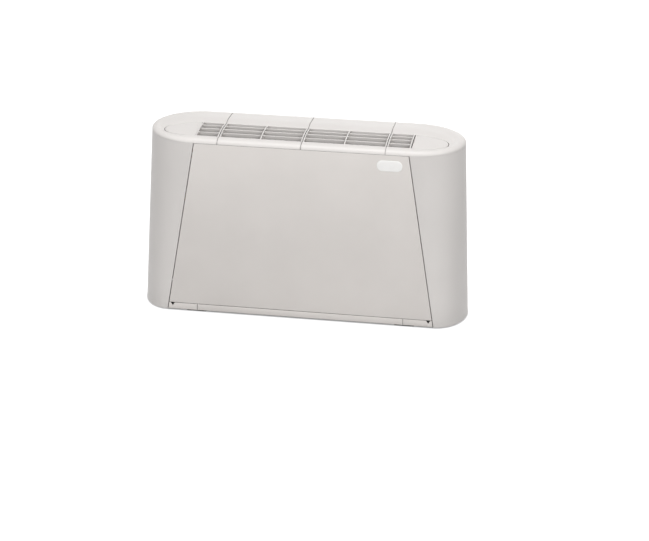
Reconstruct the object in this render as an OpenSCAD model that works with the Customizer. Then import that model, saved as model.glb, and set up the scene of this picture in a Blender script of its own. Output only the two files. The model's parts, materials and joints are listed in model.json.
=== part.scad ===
// Vertical cabinet fan coil unit: a louvred outlet on top, a front panel between two
// rounded end cheeks, a pull-out filter at the floor, and the fans, coil and tray inside.
// Millimetres. +X right, -Y front, +Y wall side, +Z up. Origin on the floor, mid width and depth.

/* [Casing] */
// Width of the cabinet at the floor
base_w = 840; // [800:1:900]
// Narrowing of each end from the floor to the rim
flare = 19; // [10:1:26]
// Depth of the cabinet, front to wall
depth = 220; // [214:1:240]
// Height from the floor to the top rim
height = 478; // [470:1:520]
// Length of the rounded end at the floor, along the width
base_round = 77; // [60:1:95]
// Length of the rounded end at the top, along the width
top_round = 130; // [110:1:145]
// Wall of the moulded cheeks and top pieces
shell_t = 3; // [2:0.5:4]
// Front panel sheet
sheet_t = 1.2; // [0.8:0.1:2]
// Depth of the front panel's folded edge
fold_d = 10; // [8:1:14]
// Felt lining behind the front panel
lining_t = 5; // [3:1:6]
// Gap at the seams between casing pieces
seam = 1.1; // [0.4:0.1:1.6]
// Height of the top pieces above the front panel
rim_h = 24; // [22:1:30]
// Radius of the rounded top edge
bull_r = 11.5; // [8:0.5:12]
// Drop of the rim's crest from the back to the front
front_drop = 11; // [6:0.5:11.5]
// Height of the strip under the front panel
strip_h = 18; // [16:1:24]
// Step of the filter front inside the chassis, at each end
strip_in = 4; // [2:1:20]
// Side of the triangular release window in each strip end
notch_w = 11; // [8:1:12]
// Height of the feet
foot_h = 3; // [2:0.5:6]
// Length of a foot, along the width
foot_l = 50; // [40:1:60]

/* [Outlet] */
// Middle of the outlet from mid depth, negative to the front
outlet_y = -37; // [-42:1:-32]
// Depth of the outlet, front to back
outlet_d = 94; // [88:1:98]
// Distance from the rim's end to the louvred part
outlet_end = 129; // [120:1:140]
// Length of the tapered end under each flap
tip_l = 90; // [84:1:96]
// Radius of that end's nose
tip_nose = 30; // [20:1:36]
// Length of the louvred part in an end piece
end_louvre = 60; // [50:1:70]
// Radius of the crowned louvre surface
crown_r = 280; // [240:10:400]
// Place of the crown's highest line
crown_y = -18; // [-26:1:-10]
// Number of louvre blades
slat_count = 3; // [3:1:5]
// Thickness of a blade
slat_t = 2.4; // [1.6:0.1:3]
// Height of a blade
slat_h = 14; // [10:1:15]
// Lean of the blades
slat_lean = 10; // [0:1:25]
// Thickness of the cross ribs
rib_t = 3; // [2:0.5:4]
// Depth of the cross ribs
rib_h = 16; // [14:1:18]
// Wall round the outlet
lip_t = 2.5; // [2:0.5:3]
// Height of that wall
lip_h = 30; // [28:1:34]

/* [Flaps] */
// Thickness of a flap
flap_t = 2.5; // [2:0.1:3]
// Clearance round a flap
flap_gap = 1.2; // [0.8:0.1:1.5]
// Fall of a flap towards its tip, degrees
flap_fall = 2; // [1:0.5:4]
// Radius of a flap's hinge pin
pin_r = 1.2; // [1:0.1:1.4]
// Running clearance of pins and shafts
run_gap = 0.05; // [0.03:0.01:0.08]

/* [Chassis] */
// Room beside the chassis at each end, at the floor
end_room = 150; // [142:1:152]
// Chassis sheet
plate_t = 1.5; // [1:0.1:2]
// Height of the fan deck
deck_z = 204; // [200:1:215]
// Width of the side plates' foot flange, to each side
flange_w = 32; // [24:1:40]
// Distance of the wall holes inside the chassis sides
wall_in = 20; // [15:1:30]
// Room above and below the wall holes
wall_room = 69; // [64:1:90]
// Radius of the wall holes
wall_r = 4.5; // [3:0.1:6]

/* [Fans] */
// Height of the fan axis
fan_z = 112; // [108:1:116]
// Free space between the motor and a fan housing
fan_mid = 27; // [22:1:32]
// Free space between a fan housing and the chassis side
fan_side = 45; // [40:1:50]
// Free space between a fan housing and the front lining
fan_room = 8.8; // [6:0.1:12]
// Gap between a fan wheel and the scroll's cut-off
wheel_gap = 7; // [5:0.5:12]
// Blades on a wheel
blade_count = 28; // [16:1:32]
// Radial length of a blade
blade_l = 12; // [9:1:14]
// Fan housing sheet
scroll_t = 1.5; // [1:0.1:2]
// Growth of the scroll from its cut-off to its outlet
scroll_grow = 26; // [20:1:28]
// Radius of the motor
motor_r = 42; // [36:1:44]
// Length of the motor
motor_l = 96; // [80:1:110]
// Radius of the motor shaft
shaft_r = 5; // [4:0.5:6]
// Thickness of the rubber rings round the motor
ring_t = 5; // [3:1:6]

/* [Coil] */
// Room above the finned block
coil_room = 55; // [52:1:64]
// Thickness of the finned block
coil_t = 44; // [40:1:48]
// Lean of the coil to the front
coil_lean = 30; // [25:1:34]
// Radius of a coil tube
tube_r = 5; // [4:0.5:6]
// Tubes in each row
tube_rows = 6; // [4:1:6]
// Thickness of a fin
fin_t = 0.6; // [0.4:0.1:1]
// Distance between fins
fin_pitch = 10; // [8:1:14]
// Radius of the female water threads
port_r = 9.3; // [7:0.1:10]
// Depth of the water threads
port_l = 15; // [12:1:18]
// Width of the condensate tray
tray_d = 56; // [54:1:60]
// Height of the condensate tray
tray_h = 22; // [18:1:23]
// Outer radius of the drain spigot
drain_r = 9; // [7:0.5:10]
// Length of the drain spigot outside the chassis
drain_l = 30; // [20:1:40]

/* [Controls] */
// Height of the wiring box
box_h = 110; // [90:1:130]
// Depth of the wiring box, front to back
box_d = 120; // [100:1:130]
// Width of the wiring box, away from the chassis
box_w = 46; // [36:1:50]
// Radius of the cable entry
cable_r = 6; // [4:0.5:8]
// Depth of the control plate under the rim's crest
control_drop = 44; // [42:1:50]
// Depth of the control plate, front to back
control_d = 60; // [50:1:64]
// Height of the control plate's hanging flange
control_flange = 21; // [12:1:22]
// Height of the terminal block
term_h = 18; // [14:1:22]
// Room between the terminal block and the top of the wiring box
term_drop = 22; // [16:1:26]
// Radius of the knobs
knob_r = 14; // [10:1:16]
// Height of the knobs
knob_h = 13; // [9:1:14]
// Radius of the knob shafts
stem_r = 3; // [2:0.5:4]

/* [Hidden] */
$fn = 64;
half_d = depth / 2;
rim_z = height;
rim_core = half_d - bull_r;
rim_slope = front_drop / (2 * rim_core);
panel_top = height - rim_h;
top_w = base_w - 2 * flare;
grille_w = top_w - 2 * outlet_end;
module_w = grille_w / 2 - end_louvre;
chassis_w = base_w - 2 * end_room;
strip_w = chassis_w - 2 * strip_in;
wall_x = chassis_w - 2 * wall_in;
wall_z = height - 2 * wall_room;
butt = 0.1;
strip_top = foot_h + strip_h;
outlet_front = outlet_y - outlet_d / 2;
outlet_back = outlet_y + outlet_d / 2;
crown_sink = 0.5;
crown_z = rim_top(outlet_back) - crown_sink - sqrt(crown_r * crown_r - pow(outlet_back - crown_y, 2));
slat_pitch = outlet_d / (slat_count + 1);
tip_x = tip_l - tip_nose;
tip_r = (tip_x * tip_x + pow(outlet_d / 2, 2) - tip_nose * tip_nose) / (outlet_d - 2 * tip_nose);
slat_drop = 0.6;
hinge_x = grille_w / 2 + seam + flap_t;
hinge_lean = atan((crown_height(outlet_back) - crown_height(outlet_front)) / outlet_d);
hinge_z = (crown_height(outlet_back) + crown_height(outlet_front)) / 2 - flap_t;
side_x = chassis_w / 2;
side_in = side_x - plate_t;
back_y = half_d - shell_t - 0.3;
arm_x = side_x + 20;
deck_top = deck_z + plate_t;
scroll_end = half_d - sheet_t - lining_t - fan_room;
scroll_r0 = scroll_end - scroll_grow;
scroll_w = side_x - fan_side - motor_l / 2 - fan_mid;
fan_x = side_x - fan_side - scroll_w / 2;
wheel_r = scroll_r0 - wheel_gap;
wheel_w = scroll_w - 20;
inlet_r = wheel_r - blade_l;
throat_y = 12;
coil_y = half_d - 48;
coil_z = deck_top + 42;
coil_h = (height - coil_room - coil_t / 2 * sin(coil_lean) - coil_z) / cos(coil_lean);
tube_pitch = coil_h / tube_rows;
tube_off = coil_t / 4;
fin_end = side_in - 14;
tray_y = coil_y - coil_t / 2 - 4;
tray_z = deck_top + 4;
plate_lap = 10;
tube_x = side_x + 4;
port_x = side_x + 34;
filter_z = foot_h + plate_t + 0.3;
filter_h = 8;
filter_w = 2 * side_in - 5;
filter_back = half_d - 16;
box_y = -70;
box_z = foot_h + 57;
control_x = side_x + 16;
control_z = height - control_drop;
control_w = 84;
control_y = outlet_y;
knob_gap = 36;
screw_r = 1.8;

// Height of the rim at a depth
function rim_top(y) = rim_z + rim_slope * (y - rim_core);

// Height of the louvre surface at a depth
function crown_height(y) = crown_z + sqrt(crown_r * crown_r - pow(y - crown_y, 2));

// Half width of the flat front at a height
function front_half(z) =
  let (low = base_w / 2 - base_round, high = top_w / 2 - top_round)
  low + (high - low) * (z - foot_h) / (panel_top - foot_h);

// Plan of the cabinet with oval ends, drawn in by i
function plan(half_w, round_l, i) = concat(
  [for (a = [-90:6:90]) [half_w - round_l + (round_l - i) * cos(a), (half_d - i) * sin(a)]],
  [for (a = [90:6:270]) [round_l - half_w + (round_l - i) * cos(a), (half_d - i) * sin(a)]]);

// Point on the fan scroll, its angle counted from the top towards the wall
function scroll_at(a, i) =
  let (r = scroll_r0 + scroll_grow * (a - 10) / 260 - i)
  [r * sin(a), fan_z + r * cos(a)];

// Outline drawn in the YZ plane and extruded along +X
module along_x(x0, x1) {
  translate([x0, 0, 0]) rotate([90, 0, 90]) linear_extrude(x1 - x0) children();
}

// Outline drawn in the XZ plane and extruded along +Y
module along_y(y0, y1) {
  translate([0, y1, 0]) rotate([90, 0, 0]) linear_extrude(y1 - y0) children();
}

// Box between two corners
module block(a, b) {
  translate(a) cube(b - a);
}

module mirrored() {
  mirror([1, 0, 0]) children();
}

// Round bar along X
module bar_x(r, x0, x1, y, z) {
  translate([x0, y, z]) rotate([0, 90, 0]) cylinder(r = r, h = x1 - x0);
}

// Cabinet body below the rim, lofted from the wide base to the narrower top
module casing_loft(i, past) {
  hull() {
    translate([0, 0, foot_h - past]) linear_extrude(0.01) polygon(plan(base_w / 2, base_round, i));
    translate([0, 0, panel_top + past - 0.01]) linear_extrude(0.01) polygon(plan(top_w / 2, top_round, i));
  }
}

// Slab of the rim with its rounded top edge, lower at the front
module rim_loft(i, past) {
  hull() {
    translate([0, 0, panel_top - past]) linear_extrude(0.01) polygon(plan(top_w / 2, top_round, i));
    translate([0, 0, rim_top(0)]) rotate([atan(rim_slope), 0, 0]) for (a = [0:15:90])
      translate([0, 0, (bull_r - i) * sin(a) - bull_r - 0.01]) linear_extrude(0.01)
        polygon(plan(top_w / 2, top_round, bull_r - (bull_r - i) * cos(a)));
  }
}

// Trapezium of the front panel
module front_outline(z0, z1, out) {
  polygon([[-front_half(z0) - out, z0], [front_half(z0) + out, z0],
           [front_half(z1) + out, z1], [-front_half(z1) - out, z1]]);
}

// Plan of the outlet with its two tapered ends, grown by o
module outlet_plan(o) {
  translate([0, outlet_y]) {
    square([grille_w, outlet_d + 2 * o], center = true);
    for (s = [0, 1]) mirror([s, 0]) translate([grille_w / 2, 0]) {
      intersection() {
        translate([0, tip_r - outlet_d / 2]) circle(tip_r + o, $fn = 128);
        translate([0, outlet_d / 2 - tip_r]) circle(tip_r + o, $fn = 128);
        translate([0, -outlet_d]) square([tip_x + (tip_nose + o) * tip_x / (tip_r - tip_nose), 2 * outlet_d]);
      }
      translate([tip_x, 0]) circle(tip_nose + o);
    }
  }
}

// Section of the rim across the cabinet
module rim_section(i) {
  side = half_d - i;
  polygon([[-side, panel_top - i], [side, panel_top - i], [side, rim_top(rim_core) - bull_r],
           [rim_core, rim_top(rim_core) - i], [-rim_core, rim_top(-rim_core) - i],
           [-side, rim_top(-rim_core) - bull_r]]);
  for (s = [-1, 1]) translate([s * rim_core, rim_top(s * rim_core) - bull_r]) intersection() {
    circle(bull_r - i);
    translate([-bull_r, -1]) square(2 * bull_r);
  }
}

// Walls along the front and back of the outlet
module lip_section() {
  for (y = [outlet_front - lip_t, outlet_back])
    polygon([[y, rim_z - lip_h], [y + lip_t, rim_z - lip_h], [y + lip_t, rim_top(y + lip_t)], [y, rim_top(y)]]);
}

// Leaning louvre blades
module slat_section() {
  back = slat_h * tan(slat_lean);
  for (n = [1:slat_count]) let (y = outlet_back - n * slat_pitch - slat_t / 2, z = crown_height(y) - slat_drop)
    polygon([[y, z], [y + slat_t, z], [y + slat_t + back, z - slat_h], [y + back, z - slat_h]]);
}

// Cross rib that follows the crown
module rib_section() {
  intersection() {
    translate([crown_y, crown_z]) difference() {
      circle(crown_r, $fn = 200);
      circle(crown_r - rib_h, $fn = 200);
    }
    translate([outlet_front - 0.5, 0]) square([outlet_d + 1, 2 * rim_z]);
  }
}

// Frame on a flap's hinge axis: local Y runs along the pin, local X to the tip
module hinge_frame() {
  translate([hinge_x, outlet_y, hinge_z]) rotate([hinge_lean, 0, 0]) children();
}

module hinge_rod(r, over) {
  l = outlet_d / cos(hinge_lean) + 2 * over;
  hinge_frame() rotate([90, 0, 0]) cylinder(r = r, h = l, center = true, $fn = 32);
}

// Casing

module front_panel() {
  z0 = strip_top + seam / 2;
  z1 = panel_top - seam / 2;
  color("gainsboro") difference() {
    along_y(-half_d, fold_d - half_d) front_outline(z0, z1, -seam / 2);
    along_y(sheet_t - half_d, fold_d + 1 - half_d)
      front_outline(z0 + sheet_t, z1 - sheet_t, -seam / 2 - sheet_t);
  }
}

module panel_lining() {
  z0 = strip_top + seam / 2 + sheet_t + 0.3;
  z1 = panel_top - seam / 2 - sheet_t - 0.3;
  color("dimgray") along_y(sheet_t - half_d, sheet_t + lining_t - half_d)
    front_outline(z0, z1, -seam / 2 - sheet_t - 0.3);
}

module right_cheek() {
  color("whitesmoke") difference() {
    intersection() {
      casing_loft(0, 0);
      block([0, -depth, 0], [base_w, depth, panel_top - butt]);
    }
    casing_loft(shell_t, 1);
    along_y(-depth, 0) front_outline(0, rim_z, seam / 2);
    block([-1, 0, 0], [arm_x, depth, rim_z]);
    cheek_holes() cylinder(r = screw_r, h = 4 * shell_t, center = true, $fn = 24);
  }
}

// Places of the screws that hold a cheek to the chassis back, pointing to the wall
module cheek_holes() {
  for (part = [0.13, 0.5])
    translate([arm_x + 12, half_d - shell_t, foot_h + part * (panel_top - foot_h)]) rotate([-90, 0, 0]) children();
}

module left_cheek() {
  mirrored() right_cheek();
}

// Outlet louvres with their rails

module right_grille() {
  x0 = seam / 2;
  x1 = module_w - seam / 2;
  color("white") {
    along_x(x0, x1) {
      difference() {
        rim_section(0);
        rim_section(shell_t);
        translate([outlet_front, 0]) square([outlet_d, 2 * rim_z]);
      }
      lip_section();
      slat_section();
    }
    for (x = [x0, (x0 + x1 - rib_t) / 2, x1 - rib_t]) along_x(x, x + rib_t) rib_section();
  }
}

module left_grille() {
  mirrored() right_grille();
}

module right_top_end() {
  x0 = module_w + seam / 2;
  x1 = grille_w / 2;
  color("white") difference() {
    union() {
      difference() {
        intersection() {
          rim_loft(0, 0);
          block([x0, -depth, 0], [base_w, depth, 2 * rim_z]);
        }
        rim_loft(shell_t, 1);
        translate([0, 0, panel_top]) linear_extrude(2 * rim_h) outlet_plan(lip_t / 2);
      }
      intersection() {
        translate([0, 0, rim_z - lip_h]) linear_extrude(lip_h) difference() {
          outlet_plan(lip_t);
          outlet_plan(0);
        }
        translate([0, 0, rim_top(0) - 0.3]) rotate([atan(rim_slope), 0, 0])
          block([0, -depth, -2 * lip_h], [base_w, depth, 0]);
        block([x0, -depth, 0], [base_w, depth, 2 * rim_z]);
      }
      along_x(x0, x1) slat_section();
      for (x = [x0, x1 - rib_t]) along_x(x, x + rib_t) rib_section();
      flap_rest();
    }
    hinge_rod(pin_r, lip_t * 0.8);
  }
}

// Ledge inside the tip that the closed flap lies on
module flap_rest() {
  intersection() {
    hinge_frame() rotate([0, flap_fall, 0])
      block([tip_l - 22, -outlet_d, -flap_t - 0.3], [tip_l + 9, outlet_d, -0.3]);
    translate([0, 0, rim_z - lip_h]) linear_extrude(lip_h) outlet_plan(lip_t / 2);
  }
}

module left_top_end() {
  mirrored() right_top_end();
}

module right_flap() {
  color("white") difference() {
    union() {
      intersection() {
        hinge_frame() rotate([0, flap_fall, 0])
          block([0, -outlet_d, 0], [2 * tip_l, outlet_d, flap_t]);
        translate([0, 0, rim_z - 2 * lip_h]) linear_extrude(3 * lip_h) outlet_plan(-flap_gap);
      }
      hinge_rod(flap_t, -2 * flap_gap);
    }
    hinge_rod(pin_r + run_gap, 1);
  }
}

module left_flap() {
  mirrored() right_flap();
}

module right_hinge_pin() {
  color("silver") hinge_rod(pin_r, lip_t * 0.8);
}

module left_hinge_pin() {
  mirrored() right_hinge_pin();
}

// Strip at the floor, filter and feet

module right_strip_end() {
  x0 = strip_w / 2 + seam / 2;
  z0 = foot_h + seam;
  z1 = strip_top - seam / 2;
  edge = front_half(strip_top) - seam;
  color("gainsboro") {
    along_y(-half_d, shell_t - half_d) difference() {
      intersection() {
        front_outline(z0, z1, -seam / 2);
        translate([x0, 0]) square([base_w, rim_z]);
      }
      polygon([[edge - 3, z1], [edge - 3 - notch_w, z1], [edge - 3 - notch_w / 2, z1 - 0.75 * notch_w]]);
    }
    block([side_x + 6, shell_t - half_d - 0.1, z0], [side_x + flange_w - 4, 5 - half_d, foot_h + plate_t + 3]);
  }
}

module left_strip_end() {
  mirrored() right_strip_end();
}

module filter_front() {
  color("gainsboro") block([seam / 2 - strip_w / 2, -half_d, foot_h + seam],
    [strip_w / 2 - seam / 2, shell_t - half_d, strip_top - seam / 2]);
}

// Bars of the filter frame, seen from above
module filter_bars() {
  y0 = shell_t - half_d;
  bar = 10;
  difference() {
    translate([-filter_w / 2, y0]) square([filter_w, filter_back - y0]);
    translate([bar - filter_w / 2, y0 + bar]) square([filter_w - 2 * bar, filter_back - y0 - 2 * bar]);
  }
  for (x = [-1, 1]) translate([x * filter_w / 6 - 2, y0]) square([4, filter_back - y0]);
}

module filter_frame() {
  color("dimgray") difference() {
    translate([0, 0, filter_z]) linear_extrude(filter_h) filter_bars();
    filter_sheet(0);
  }
}

// Filter cloth, held in a groove of the frame
module filter_sheet(gap) {
  y0 = shell_t - half_d;
  block([4 - filter_w / 2 + gap, y0 + 4 + gap, filter_z + 3 + gap],
    [filter_w / 2 - 4 - gap, filter_back - 4 - gap, filter_z + 5 - gap]);
}

module filter_mesh() {
  color("darkslategray") filter_sheet(0.02);
}

module feet() {
  color("black") for (x = [-1, 1], y = [-1, 1])
    translate([x * (side_x - 1) - foot_l / 2, y * (half_d - 13) - 8, 0]) cube([foot_l, 16, foot_h]);
}

// Chassis

module chassis_back() {
  z0 = foot_h + 28;
  color("silver") difference() {
    along_y(back_y - plate_t, back_y) intersection() {
      front_outline(z0, panel_top - 16, 3);
      translate([-arm_x - 24, 0]) square([2 * arm_x + 48, height]);
    }
    for (x = [-1, 1], z = [-1, 1])
      translate([x * wall_x / 2, back_y, wall_mid() + z * wall_z / 2]) rotate([90, 0, 0])
        cylinder(r = wall_r, h = 4 * plate_t, center = true);
    cheek_holes() cylinder(r = screw_r + 0.3, h = 8 * plate_t, center = true, $fn = 24);
    mirrored() cheek_holes() cylinder(r = screw_r + 0.3, h = 8 * plate_t, center = true, $fn = 24);
  }
}

function wall_mid() = (foot_h + panel_top) / 2 + 1.5;

// Slanted frame of the coil: local X along the tubes, local Y across, local Z up the fins
module coil_frame() {
  translate([0, coil_y, coil_z]) rotate([coil_lean, 0, 0]) children();
}

module right_side_plate() {
  window = tube_off + tube_r + 1.5;
  low = tube_pitch / 2 - tube_r - 2;
  color("silver") difference() {
    union() {
      along_x(side_in, side_x) difference() {
        translate([sheet_t + lining_t + 0.3 - half_d, foot_h])
          square([back_y - plate_t - sheet_t - lining_t - 0.3 + half_d, rim_z - lip_h - 3 - foot_h]);
        translate([-depth, 0]) square([depth - half_d + 10, strip_top + 4]);
      }
      block([side_x - flange_w - plate_t, 5 - half_d, foot_h], [side_x + flange_w, back_y - plate_t, foot_h + plate_t]);
    }
    coil_frame() block([0, -window, low], [base_w, window, coil_h - low]);
    translate([side_x + box_w / 2, box_y + box_d / 2, 0]) cylinder(r = cable_r + 6, h = 2 * foot_h);
    coil_holes() cylinder(r = screw_r + 0.3, h = 60, center = true, $fn = 24);
  }
}

// Screws that hold the coil's end plate, pointing away from the middle
module coil_holes() {
  for (y = [-1, 1], z = [-1, 1])
    coil_frame() translate([side_in, y * (coil_t / 2 + plate_lap / 2), coil_h / 2 + z * (coil_h / 2 - 20)])
      rotate([0, 90, 0]) children();
}

module left_side_plate() {
  difference() {
    mirrored() right_side_plate();
    bar_x(drain_r + 1.8, -side_x - 1, -side_in + 1, tray_y + tray_d / 2, tray_z + tray_h / 2);
  }
}

module fan_deck() {
  front = sheet_t + lining_t + 0.6 - half_d;
  color("silver") difference() {
    block([-side_in, front, deck_z], [side_in, back_y - plate_t, deck_top]);
    for (s = [-1, 1]) throat(s, deck_z - 1, deck_top + 1);
  }
}

// Air outlet of a fan through the deck
module throat(s, z0, z1) {
  w = scroll_w / 2 - scroll_t;
  block([s * fan_x - w, scroll_t - scroll_end, z0], [s * fan_x + w, throat_y - scroll_t, z1]);
}

// Fans

module scroll_section(i) {
  polygon(concat([for (a = [10:10:270]) scroll_at(a, i)],
    [[i - scroll_end, deck_z], [throat_y - i, deck_z]]));
}

module right_fan_housing() {
  w = scroll_w / 2;
  color("lightgray") difference() {
    union() {
      along_x(fan_x - w, fan_x + w) scroll_section(0);
      block([fan_x - w - 8, -scroll_end - 5, deck_z - plate_t], [fan_x + w + 8, throat_y + 10, deck_z]);
    }
    along_x(fan_x - w + scroll_t, fan_x + w - scroll_t) scroll_section(scroll_t);
    throat(1, fan_z + wheel_r, deck_z + 1);
    bar_x(inlet_r, fan_x - scroll_w, fan_x + scroll_w, 0, fan_z);
  }
}

module left_fan_housing() {
  mirrored() right_fan_housing();
}

// One forward-curved blade
module blade_section() {
  translate([wheel_r - blade_l / 2 - 0.5, 0]) difference() {
    intersection() {
      translate([0, 0.35 * blade_l]) circle(0.62 * blade_l, $fn = 48);
      translate([0, -0.2 * blade_l]) square([blade_l, blade_l], center = true);
    }
    translate([0, 0.35 * blade_l]) circle(0.62 * blade_l - 0.9, $fn = 48);
  }
}

module right_fan_wheel() {
  x0 = fan_x - wheel_w / 2;
  x1 = fan_x + wheel_w / 2;
  in_r = wheel_r - blade_l;
  color("dimgray") translate([0, 0, fan_z]) difference() {
    union() {
      along_x(x0 + 1, x1 - 1) for (n = [0:blade_count - 1]) rotate(n * 360 / blade_count) blade_section();
      for (x = [x0, x1 - 3]) along_x(x, x + 3) difference() {
        circle(wheel_r);
        circle(in_r);
      }
      along_x(fan_x - 1.5, fan_x + 1.5) circle(wheel_r);
      along_x(fan_x - 14, fan_x + 14) circle(shaft_r + 7);
    }
    bar_x(shaft_r, 0, base_w, 0, 0);
  }
}

module left_fan_wheel() {
  mirrored() right_fan_wheel();
}

module motor() {
  color("slategray") difference() {
    union() {
      bar_x(motor_r, -motor_l / 2, motor_l / 2, 0, fan_z);
      bar_x(shaft_r + 10, -motor_l / 2 - 8, motor_l / 2 + 8, 0, fan_z);
    }
    bar_x(shaft_r + run_gap, -base_w, base_w, 0, fan_z);
    for (x = [-1, 1]) translate([x * motor_l / 2, 0, fan_z]) rotate([0, 90, 0]) for (a = [0:30:330])
      rotate(a) translate([shaft_r + 20, 0, 0]) cylinder(r = 3, h = 16, center = true, $fn = 24);
  }
}

module motor_shaft() {
  color("silver") bar_x(shaft_r, -fan_x - 20, fan_x + 20, 0, fan_z);
}

// Places of the two rubber rings along the motor
module at_rings() {
  for (s = [-1, 1]) translate([s * (motor_l / 2 - 14), 0, 0]) children();
}

module motor_rings() {
  color("black") at_rings() along_x(-6, 6) translate([0, fan_z]) difference() {
    circle(motor_r + ring_t);
    circle(motor_r);
  }
}

module motor_hangers() {
  color("silver") at_rings() {
    along_x(-plate_t, plate_t) difference() {
      union() {
        translate([0, fan_z]) circle(motor_r + ring_t + 8);
        translate([-34, fan_z]) square([68, deck_z - fan_z]);
      }
      translate([0, fan_z]) circle(motor_r + ring_t);
    }
    block([-10, -34, deck_z - plate_t], [10, 34, deck_z]);
  }
}

// Coil and water side

// Centres of the tubes across and up the coil
function tube_at(row, n) = [row * tube_off, (n + 0.5) * tube_pitch];

module coil_fins() {
  count = floor(2 * fin_end / fin_pitch);
  color("lightsteelblue") coil_frame() for (n = [0:count])
    along_x((n - count / 2) * fin_pitch - fin_t / 2, (n - count / 2) * fin_pitch + fin_t / 2) difference() {
      translate([-coil_t / 2, 0]) square([coil_t, coil_h]);
      for (row = [-1, 1], k = [0:tube_rows - 1]) translate(tube_at(row, k)) circle(tube_r);
    }
}

// Half-round return bend between two tube centres at x, opening to the middle
module return_bend(x, a, b) {
  run = b - a;
  span = norm(run);
  mid = (a + b) / 2;
  translate([x, mid[0], mid[1]]) rotate([atan2(run[1], run[0]), 0, 0])
    rotate([0, 0, x > 0 ? -90 : 90]) rotate_extrude(angle = 180) translate([span / 2, 0]) circle(tube_r);
}

// Hairpin tubes, bent at the right end; the first and last run on to the water connections
module coil_tubes() {
  last = tube_rows - 1;
  color("peru") coil_frame() for (k = [0:last]) {
    for (row = [-1, 1]) let (p = tube_at(row, k), open = row < 0 ? k == 0 : k == last)
      bar_x(tube_r, open ? -port_x : -tube_x, tube_x, p[0], p[1]);
    return_bend(tube_x, tube_at(-1, k), tube_at(1, k));
  }
}

// Bends brazed on at the left end, from each hairpin to the next
module return_bends() {
  color("peru") coil_frame() for (k = [0:tube_rows - 2])
    return_bend(-tube_x, tube_at(1, k), tube_at(-1, k + 1));
}

module coil_end_plates() {
  color("silver") coil_frame() for (s = [-1, 1]) difference() {
    along_x(s * side_in - (s > 0 ? plate_t : 0), s * side_in + (s > 0 ? 0 : plate_t)) difference() {
      translate([-coil_t / 2 - plate_lap, 0]) square([coil_t + 2 * plate_lap, coil_h]);
      for (row = [-1, 1], k = [0:tube_rows - 1]) translate(tube_at(row, k)) circle(tube_r);
      for (y = [-1, 1], z = [-1, 1])
        translate([y * (coil_t / 2 + plate_lap / 2), coil_h / 2 + z * (coil_h / 2 - 20)]) circle(screw_r, $fn = 24);
    }
  }
}

// Female threaded water connection on the end of a tube
module water_port(p) {
  l = port_l + 10;
  color("darkgoldenrod") coil_frame() translate([-port_x, p[0], p[1]]) rotate([0, -90, 0]) difference() {
    cylinder(r = port_r + 5, h = l, $fn = 6);
    translate([0, 0, l - port_l]) cylinder(r = port_r, h = port_l + 1);
    translate([0, 0, -1]) cylinder(r = tube_r - 1, h = l);
  }
}

module water_inlet() {
  water_port(tube_at(-1, 0));
}

module water_outlet() {
  water_port(tube_at(1, tube_rows - 1));
}

module drip_tray() {
  t = 2;
  z = tray_z + tray_h / 2;
  y = tray_y + tray_d / 2;
  color("dimgray") difference() {
    union() {
      block([-side_in, tray_y, tray_z], [side_in, tray_y + tray_d, tray_z + tray_h]);
      bar_x(drain_r + 1.5, -side_x - 2, t - side_in, y, z);
      bar_x(drain_r, -side_x - 2 - drain_l, -side_x - 2, y, z);
    }
    block([t - side_in, tray_y + t, tray_z + t], [side_in - t, tray_y + tray_d - t, tray_z + tray_h + 1]);
    bar_x(drain_r - 2, -side_x - drain_l - 3, 4 - side_in, y, z);
  }
}

// Controls

module wiring_box() {
  t = 2;
  color("darkgray") difference() {
    block([side_x, box_y, box_z], [side_x + box_w, box_y + box_d, box_z + box_h]);
    block([side_x + t, box_y + t, box_z + t], [base_w, box_y + box_d - t, box_z + box_h - t]);
    translate([side_x + box_w / 2, box_y + box_d / 2, box_z]) cylinder(r = cable_r + 2, h = 6 * t, center = true);
  }
}

module wiring_box_lid() {
  color("gray") block([side_x + box_w, box_y, box_z], [side_x + box_w + 2, box_y + box_d, box_z + box_h]);
}

module terminal_block() {
  x = side_x + 2;
  end = box_d / 7.5;
  top = box_z + box_h - term_drop;
  color("ivory") difference() {
    block([x, box_y + end, top - term_h], [x + 0.44 * box_w, box_y + box_d - end, top]);
    for (n = [0:7]) translate([x + 0.26 * box_w, box_y + 1.4 * end + n * (box_d - 2.8 * end) / 7, top])
      cylinder(r = 2.2, h = 16, center = true, $fn = 24);
  }
}

module cable_gland() {
  color("black") translate([side_x + box_w / 2, box_y + box_d / 2, box_z]) difference() {
    union() {
      translate([0, 0, -10]) cylinder(r = cable_r + 5, h = 10);
      cylinder(r = cable_r + 2, h = 2);
      translate([0, 0, 2]) cylinder(r = cable_r + 4, h = 3);
    }
    translate([0, 0, -11]) cylinder(r = cable_r, h = 20);
  }
}

// Places of the two knobs on the control plate
module at_knob(n) {
  translate([control_x + 22 + n * knob_gap, control_y, control_z]) children();
}

module control_plate() {
  t = plate_t;
  front = control_y - control_d / 2;
  color("darkgray") difference() {
    union() {
      block([side_x, front, control_z - t], [control_x + control_w, front + control_d, control_z]);
      block([side_x, front, control_z - control_flange], [side_x + t, front + control_d, control_z]);
    }
    for (n = [0, 1]) at_knob(n) cylinder(r = stem_r + run_gap, h = 6 * t, center = true, $fn = 32);
  }
}

// Switch or sensor body under the control plate, bored for the knob's stem
module dial_body(n) {
  color("dimgray") at_knob(n) translate([0, 0, -plate_t - 18]) difference() {
    translate([-12, -12, 0]) cube([24, 24, 18]);
    translate([0, 0, 6]) cylinder(r = stem_r + run_gap, h = 20, $fn = 32);
  }
}

module selector_body() {
  dial_body(0);
}

module thermostat_body() {
  dial_body(1);
}

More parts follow.
